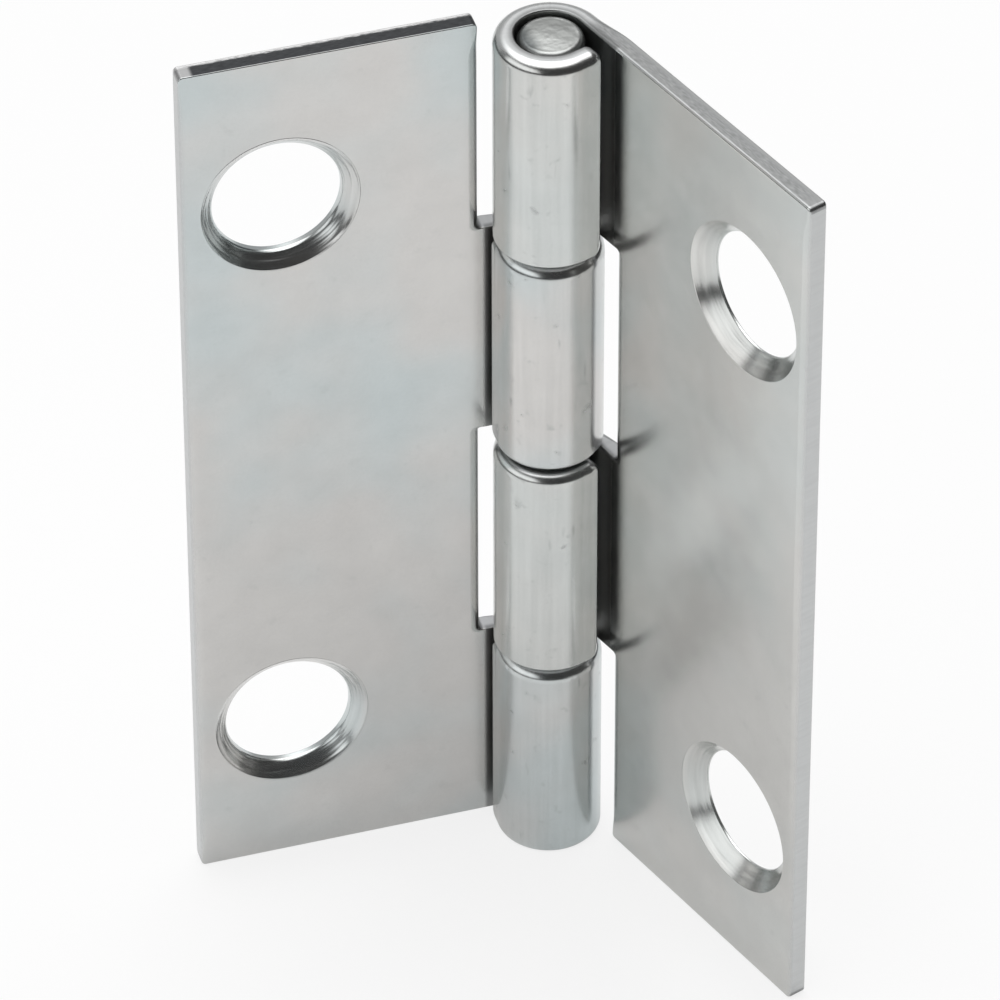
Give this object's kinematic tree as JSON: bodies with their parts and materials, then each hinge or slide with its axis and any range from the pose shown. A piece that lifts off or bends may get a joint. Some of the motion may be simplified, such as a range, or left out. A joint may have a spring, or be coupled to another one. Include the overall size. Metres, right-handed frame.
{
  "type": "butt hinge",
  "caption": "Small butt hinge of zinc-plated sheet steel: flat leaves with countersunk screw holes and rolled knuckles that turn about a plain pin, shown part open.",
  "frame": {"origin": "on the back face of the fixed leaf, midway between its two screw holes", "axes": "+Z along the pin, +Y out of the fixed leaf's back face, +X along the fixed leaf towards the pin"},
  "size_m": [0.0208, 0.015, 0.04],
  "materials": {
    "zinc_sheet": "bright zinc plating over rolled sheet, smooth with faint mottling",
    "zinc_wire": "bright zinc plating over cut wire"
  },
  "bodies": {
    "frame_side": {"fixed_leaf": "zinc_sheet", "hinge_pin": "zinc_wire"},
    "door_side": {"swing_leaf": "zinc_sheet"}
  },
  "joints": [
    {"name": "pin_hinge", "type": "hinge", "parent": "frame_side", "child": "door_side", "pos_m": [0.01025, -0.0021, 0], "axis": [0, 0, 1], "range_deg": [-109.5, 160.5]}
  ]
}
